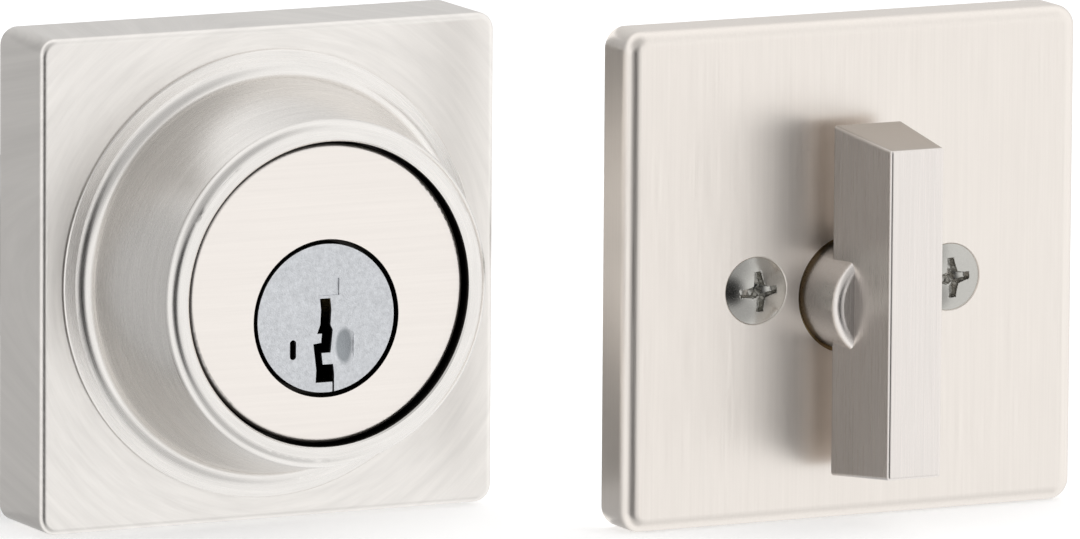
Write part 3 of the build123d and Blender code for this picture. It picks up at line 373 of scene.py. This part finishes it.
def straight_finish(name, tint, roughness, along_axis, anisotropy=0.0, depth=LIGHT_SCRATCH):
    """Metal brushed in straight lines along one axis: noise drawn out along it."""
    made, made_tree, made_shader = metal(name, tint, roughness, anisotropy)
    here = centred(made_tree, (0.0, 0.0, 0.0))
    fine_factors, broad_factors = [1.0 / GRAIN_PITCH] * 3, [1.0 / STREAK_PITCH] * 3
    fine_factors[along_axis], broad_factors[along_axis] = 1.0 / GRAIN_LENGTH, 1.0 / STREAK_LENGTH
    grain_finish(made_tree, made_shader, tint, scratches(made_tree, scaled(made_tree, here, fine_factors)),
                 scratches(made_tree, scaled(made_tree, here, broad_factors)), roughness, depth,
                 tone_swing=STREAK_TONE)
    cross = [1.0, 1.0, 1.0]
    cross[along_axis] = 0.0
    fixed = made_tree.nodes.new("ShaderNodeCombineXYZ")
    for slot, value in zip(fixed.inputs, cross):
        slot.default_value = value
    made_tree.links.new(fixed.outputs[0], made_shader.inputs["Tangent"])
    return made


MOUTH_SHADE_MARGIN = 0.00065    # shade in the plug's mouth, out from the plug
RIM_SHADE_DEPTH = 0.00004       # shade on the disc's upright side
face_metal = straight_finish("face_satin_nickel", (0.88, 0.83, 0.785), 0.36, ALONG_X, anisotropy=0.3)
tree = face_metal.node_tree
shader = tree.nodes["Principled BSDF"]
plug_low, plug_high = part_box("key_plug")
plug_radius = (plug_high.x - plug_low.x) / 2
mouth_radius = plug_radius + MOUTH_SHADE_MARGIN
in_mouth = math_node(tree, "LESS_THAN", radius_about(tree, (0.0, 0.0, 0.0)), mouth_radius)
on_side = math_node(tree, "GREATER_THAN", radius_about(tree, PLATE_CENTRE), face_radius - RIM_SHADE_DEPTH)
# Painted shade: near-black in the plug's mouth and on the disc's upright side.
darken(tree, shader, math_node(tree, "MAXIMUM", in_mouth, on_side), PAINTED_SHADE_TINT)
finish_node("cylinder_housing", face_metal)
finish_node("drill_pins", straight_finish("hard_steel", (0.42, 0.43, 0.45), 0.3, ALONG_Z))
finish_node("threaded_posts", straight_finish("post_zinc", (0.66, 0.68, 0.70), 0.28, ALONG_Y))

# ---------------------------------------------------------------- key plug
# The turning plug, cast and bead-blasted to a cool, sparkling grey, with shade painted in its cuts and
# in the dish on its face. A steel clip holds it in the housing. Inside are brass pins and their cover, and
# steel wafers, sidebar and springs.
PLUG_ROUGHNESS = 0.40
PITS_PER_METRE, CLOUDS_PER_METRE = 7000.0, 1800.0
PIT_DEPTH = 0.00004


def depth_of(tree, centre):
    """How far behind the centre a point lies, along Y."""
    parts = tree.nodes.new("ShaderNodeSeparateXYZ")
    tree.links.new(centred(tree, centre), parts.inputs[0])
    return parts.outputs["Y"]


PLUG_TINT = (0.66, 0.675, 0.70)
plug_metal, tree, shader = metal("plug_blasted", PLUG_TINT, PLUG_ROUGHNESS)
here = centred(tree, (0.0, 0.0, 0.0))
pits = scratches(tree, scaled(tree, here, [PITS_PER_METRE] * 3), detail=2.0)
clouds = scratches(tree, scaled(tree, here, [CLOUDS_PER_METRE] * 3))
grain_finish(tree, shader, PLUG_TINT, pits, clouds, PLUG_ROUGHNESS, PIT_DEPTH, roughness_swing=0.12,
             tone_swing=0.10)
# Painted shade: an oval in the shallow dish on the plug's face, tinted darker.
DISH_CENTRE = (0.00275, 0.0, -0.00385)
DISH_HALF_WIDTH, DISH_HALF_HEIGHT = 0.00128, 0.0026
DISH_SOFT_FROM, DISH_SOFT_TO = 0.75, 1.05   # shares of the oval's size over which its painted shade fades
DISH_PAINTED_SHADE = (0.33, 0.35, 0.37)
FACE_DEPTH, SHADE_DEPTH = 0.0003, 0.0006    # behind the plug's front its cuts get painted shade
oval = scaled(tree, centred(tree, DISH_CENTRE), (1 / DISH_HALF_WIDTH, 0.0, 1 / DISH_HALF_HEIGHT))
oval_size = tree.nodes.new("ShaderNodeVectorMath")
oval_size.operation = "LENGTH"
tree.links.new(oval, oval_size.inputs[0])
in_dish = spread(tree, oval_size.outputs["Value"], DISH_SOFT_FROM, DISH_SOFT_TO, 1.0, 0.0)
darken(tree, shader, in_dish, DISH_PAINTED_SHADE)
behind = spread(tree, depth_of(tree, (0.0, plug_low.y, 0.0)), FACE_DEPTH, SHADE_DEPTH, 0.0, 1.0)
# Painted shade in the plug's cuts behind its front, near-black.
darken(tree, shader, behind, PAINTED_SHADE_TINT)
finish_node("key_plug", plug_metal)
inner_brass = straight_finish("turned_brass", (0.76, 0.60, 0.30), 0.3, ALONG_Y)
inner_steel = straight_finish("spring_steel", (0.5, 0.5, 0.5), 0.3, ALONG_Y)
for node in ("key_pins", "spring_cover", "tail_cap"):
    finish_node(node, inner_brass)
for node in ("pin_springs", "code_wafers", "sidebar", "sidebar_springs", "plug_clip"):
    finish_node(node, inner_steel)

# ---------------------------------------------------------------- tailpiece, bolt and case
# The works inside the door: a riveted case, tube, links and crank in zinc-plated steel, a ground steel
# bolt with its pins, and a satin faceplate screwed to the door's edge.
zinc = straight_finish("zinc_plate", (0.66, 0.67, 0.66), 0.32, ALONG_X, anisotropy=0.2, depth=0.000004)
for node in ("tailpiece", "case_half_front", "case_half_rear", "case_rivets", "bolt_tube",
             "faceplate_backer", "bolt_links", "crank_hub"):
    finish_node(node, zinc)
steel = straight_finish("ground_steel", (0.70, 0.70, 0.69), 0.26, ALONG_X, anisotropy=0.3)
for node in ("dead_bolt", "anti_saw_pin", "cross_pin", "tail_pin", "hub_spring"):
    finish_node(node, steel)
edge_plate = straight_finish("edge_plate_nickel", (0.80, 0.775, 0.74), 0.32, ALONG_Z, anisotropy=0.4,
                             depth=0.000005)
for node in ("faceplate", "faceplate_screws"):
    finish_node(node, edge_plate)

# ---------------------------------------------------------------- inner cover
# The square plate of the inner half, plated in satin nickel and brushed upright. Its support, clip and
# washer behind it are zinc-plated, and a brass-coloured bush carries the thumb turn.
cover_metal = straight_finish("cover_satin_nickel", (0.87, 0.815, 0.76), 0.34, ALONG_Z, anisotropy=0.5,
                              depth=DEEP_SCRATCH)
finish_node("inner_cover", cover_metal)
for node in ("inner_support", "turn_clip", "wave_washer", "turn_insert"):
    finish_node(node, zinc)
finish_node("turn_bush", straight_finish("bush_brass", (0.26, 0.19, 0.10), 0.35, ALONG_Y))

# ---------------------------------------------------------------- thumb turn
# The lever and its boss, one casting, plated and brushed upright like the cover. A clip behind the
# cover holds it in its bush.
TOP_PAINTED_SHADE = (0.44, 0.40, 0.36)   # painted shade: the grip's top tinted darker
END_FROM, END_FULL = 0.7, 0.95  # upward part of the surface's direction over which that comes in
turn_metal = straight_finish("turn_satin_nickel", (0.80, 0.755, 0.72), 0.30, ALONG_Z, anisotropy=0.4,
                             depth=DEEP_SCRATCH)
tree = turn_metal.node_tree
facing = tree.nodes.new("ShaderNodeSeparateXYZ")
tree.links.new(tree.nodes.new("ShaderNodeTexCoord").outputs["Normal"], facing.inputs[0])
on_end = spread(tree, facing.outputs["Z"], END_FROM, END_FULL, 0.0, 1.0)
# Painted shade on the grip's upward faces.
darken(tree, tree.nodes["Principled BSDF"], on_end, TOP_PAINTED_SHADE)
finish_node("thumb_turn", turn_metal)

# ---------------------------------------------------------------- mounting screws
# Two oval-head screws, cold-headed steel with a dull zinc plate, turned through the inner half. Each
# is one closed skin: a dome with a cross recess, a rim, the countersunk cone, a rolled thread, a tip.
TURN_STEPS = 160
INNER_HEAD_RINGS, OUTER_HEAD_RINGS = 37, 18
RECESS_ZONE = 0.66          # share of the head's radius that has the closer rings
CONE_RINGS, TIP_RINGS = 8, 4
HEAD_OVER_SHANK = 0.0025    # head's radius less the shank's
DOME_HEIGHT = 0.0012
HEAD_RIM = 0.00018          # upright edge round the dome
CONE_LENGTH = 0.0022
THREAD_PITCH = 0.00079
THREAD_DEPTH = 0.00038
STEPS_PER_THREAD = 8
TIP_LENGTH = 0.001
TIP_TAPER = 0.0006
RECESS_TURN = math.radians(4.0)
WING_REACH = 0.00262        # cross recess, out from the screw's middle
WING_TIP_HALF = 0.00042
WING_ROOT_HALF = 0.00108
WING_DEPTH = 0.0010
RECESS_DEPTH = 0.0021
RECESS_WALL = 0.00022       # soft width of the recess's edge
CREASE_ANGLE = math.radians(35)


def smooth_between(value, low, high):
    """3t^2 - 2t^3 between low and high, 0 before and 1 after."""
    t = np.clip((value - low) / (high - low), 0.0, 1.0)
    return t * t * (3.0 - 2.0 * t)


def cross_recess(x, z):
    """Depth of the recess below the dome: two crossing wings, each tip + (root - tip)(1 - s/reach)^2
    wide either side at s from the middle and deeper toward it, with an edge softened over its wall."""
    cos_turn, sin_turn = math.cos(RECESS_TURN), math.sin(RECESS_TURN)
    first = np.abs(cos_turn * x + sin_turn * z)
    second = np.abs(cos_turn * z - sin_turn * x)
    depth = np.zeros_like(x)
    for along, aside in ((first, second), (second, first)):
        inward = np.clip(1.0 - along / WING_REACH, 0.0, 1.0)
        half = WING_TIP_HALF + (WING_ROOT_HALF - WING_TIP_HALF) * inward ** 2
        inside = np.minimum(half - aside, WING_REACH - along)
        wing_floor = WING_DEPTH + (RECESS_DEPTH - WING_DEPTH) * inward ** 1.5
        depth = np.maximum(depth, smooth_between(inside, -RECESS_WALL / 2, RECESS_WALL / 2) * wing_floor)
    return depth


def screw_skin(head_r, shank_r, reach):
    """Rings of points about Y, from the dome to the tip. The dome is y = ball - height
    - sqrt(ball^2 - r^2) plus the recess; the thread is r = shank - depth * (triangle wave of
    y / pitch - angle / turn), faded in and out at its ends."""
    angle = np.arange(TURN_STEPS) * 2 * math.pi / TURN_STEPS
    ball = (head_r ** 2 + DOME_HEIGHT ** 2) / (2 * DOME_HEIGHT)
    inner = np.linspace(0.0, RECESS_ZONE * head_r, INNER_HEAD_RINGS + 1)[1:]
    outer = np.linspace(RECESS_ZONE * head_r, head_r, OUTER_HEAD_RINGS + 1)[1:]
    head = np.concatenate([inner, outer])[:, None] * np.ones(TURN_STEPS)
    x, z = head * np.cos(angle), head * np.sin(angle)
    y = ball - DOME_HEIGHT - np.sqrt(ball ** 2 - head ** 2) + cross_recess(x, z)
    rows = [np.stack([x, y, z], axis=-1)]

    def add_rings(radius, depth):
        """Circles of the given radii at the given depths behind the dome's edge."""
        radius = radius * np.ones((len(depth), TURN_STEPS))
        deep = depth[:, None] * np.ones(TURN_STEPS)
        rows.append(np.stack([radius * np.cos(angle), deep, radius * np.sin(angle)], axis=-1))

    add_rings(head_r, np.array([HEAD_RIM / 2, HEAD_RIM]))
    down = np.linspace(0.0, 1.0, CONE_RINGS + 1)[1:]
    add_rings((head_r + (shank_r - head_r) * down)[:, None], HEAD_RIM + (CONE_LENGTH - HEAD_RIM) * down)
    thread_end = reach - TIP_LENGTH
    thread_length = thread_end - CONE_LENGTH
    thread_rings = round(thread_length / THREAD_PITCH) * STEPS_PER_THREAD
    deep = CONE_LENGTH + thread_length * np.linspace(0.0, 1.0, thread_rings)[1:]
    phase = (deep[:, None] / THREAD_PITCH - angle[None, :] / (2 * math.pi)) % 1.0
    groove = 1.0 - np.abs(2.0 * phase - 1.0)
    fade = smooth_between(deep - CONE_LENGTH, 0.0, 2 * THREAD_PITCH)
    fade = fade * smooth_between(thread_end - deep, 0.0, THREAD_PITCH)
    add_rings(shank_r - THREAD_DEPTH * groove * fade[:, None], deep)
    down = np.linspace(0.0, 1.0, TIP_RINGS + 1)[1:]
    add_rings((shank_r - TIP_TAPER * down)[:, None], thread_end + TIP_LENGTH * down)
    return np.concatenate(rows)


def closed_screw(rings, front_y, back_y):
    """Points, quads and end triangles of the rings, closed by one point at each end."""
    points = np.concatenate([rings.reshape(-1, 3), [[0.0, front_y, 0.0], [0.0, back_y, 0.0]]])
    here = np.arange(TURN_STEPS)
    after = (here + 1) % TURN_STEPS
    start = np.arange(len(rings) - 1)[:, None] * TURN_STEPS
    next_start = start + TURN_STEPS
    quads = np.stack([start + here, start + after, next_start + after, next_start + here], axis=-1)
    last = (len(rings) - 1) * TURN_STEPS
    front = np.stack([np.full(TURN_STEPS, len(points) - 2), after, here], axis=-1)
    back = np.stack([np.full(TURN_STEPS, len(points) - 1), last + here, last + after], axis=-1)
    return points, quads.reshape(-1, 4), np.concatenate([front, back])


def facing_out(points, quads, triangles):
    """The same faces, turned round if the volume they enclose comes out negative."""
    split = np.concatenate([quads[:, [0, 1, 2]], quads[:, [0, 2, 3]], triangles])
    a, b, c = (points[split[:, corner]] for corner in range(3))
    if np.einsum("ij,ij->i", a, np.cross(b, c)).sum() < 0:
        return quads[:, ::-1], triangles[:, ::-1]
    return quads, triangles


screws_low, screws_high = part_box("mounting_screws")
head_radius = (screws_high.z - screws_low.z) / 2
screw_reach = screws_high.y - screws_low.y - DOME_HEIGHT
head_seat_y = screws_low.y + DOME_HEIGHT
head_z = (screws_low.z + screws_high.z) / 2
rings = screw_skin(head_radius, head_radius - HEAD_OVER_SHANK, screw_reach)
recess_floor_y = float(cross_recess(np.zeros(1), np.zeros(1))[0]) - DOME_HEIGHT
points, quads, triangles = closed_screw(rings, recess_floor_y, screw_reach)
quads, triangles = facing_out(points, quads, triangles)
pair_points, pair_faces = [], []
for screw_x in (screws_low.x + head_radius, screws_high.x - head_radius):
    base = len(pair_points) * len(points)
    pair_points.append(points + (screw_x, head_seat_y, head_z))
    pair_faces += (quads + base).tolist() + (triangles + base).tolist()
screw_mesh = bpy.data.meshes.new("mounting_screw_pair")
screw_mesh.from_pydata(np.concatenate(pair_points).tolist(), [], pair_faces)
screw_mesh.polygons.foreach_set("use_smooth", np.ones(len(screw_mesh.polygons), dtype=bool))
screw_mesh.set_sharp_from_angle(angle=CREASE_ANGLE)
screw_mesh.materials.append(straight_finish("screw_zinc", (0.50, 0.49, 0.46), 0.22, ALONG_Y))
screw_pair = bpy.data.objects.new("mounting_screw_pair", screw_mesh)
bpy.context.scene.collection.objects.link(screw_pair)
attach(screw_pair, "outer_half")
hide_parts("mounting_screws")
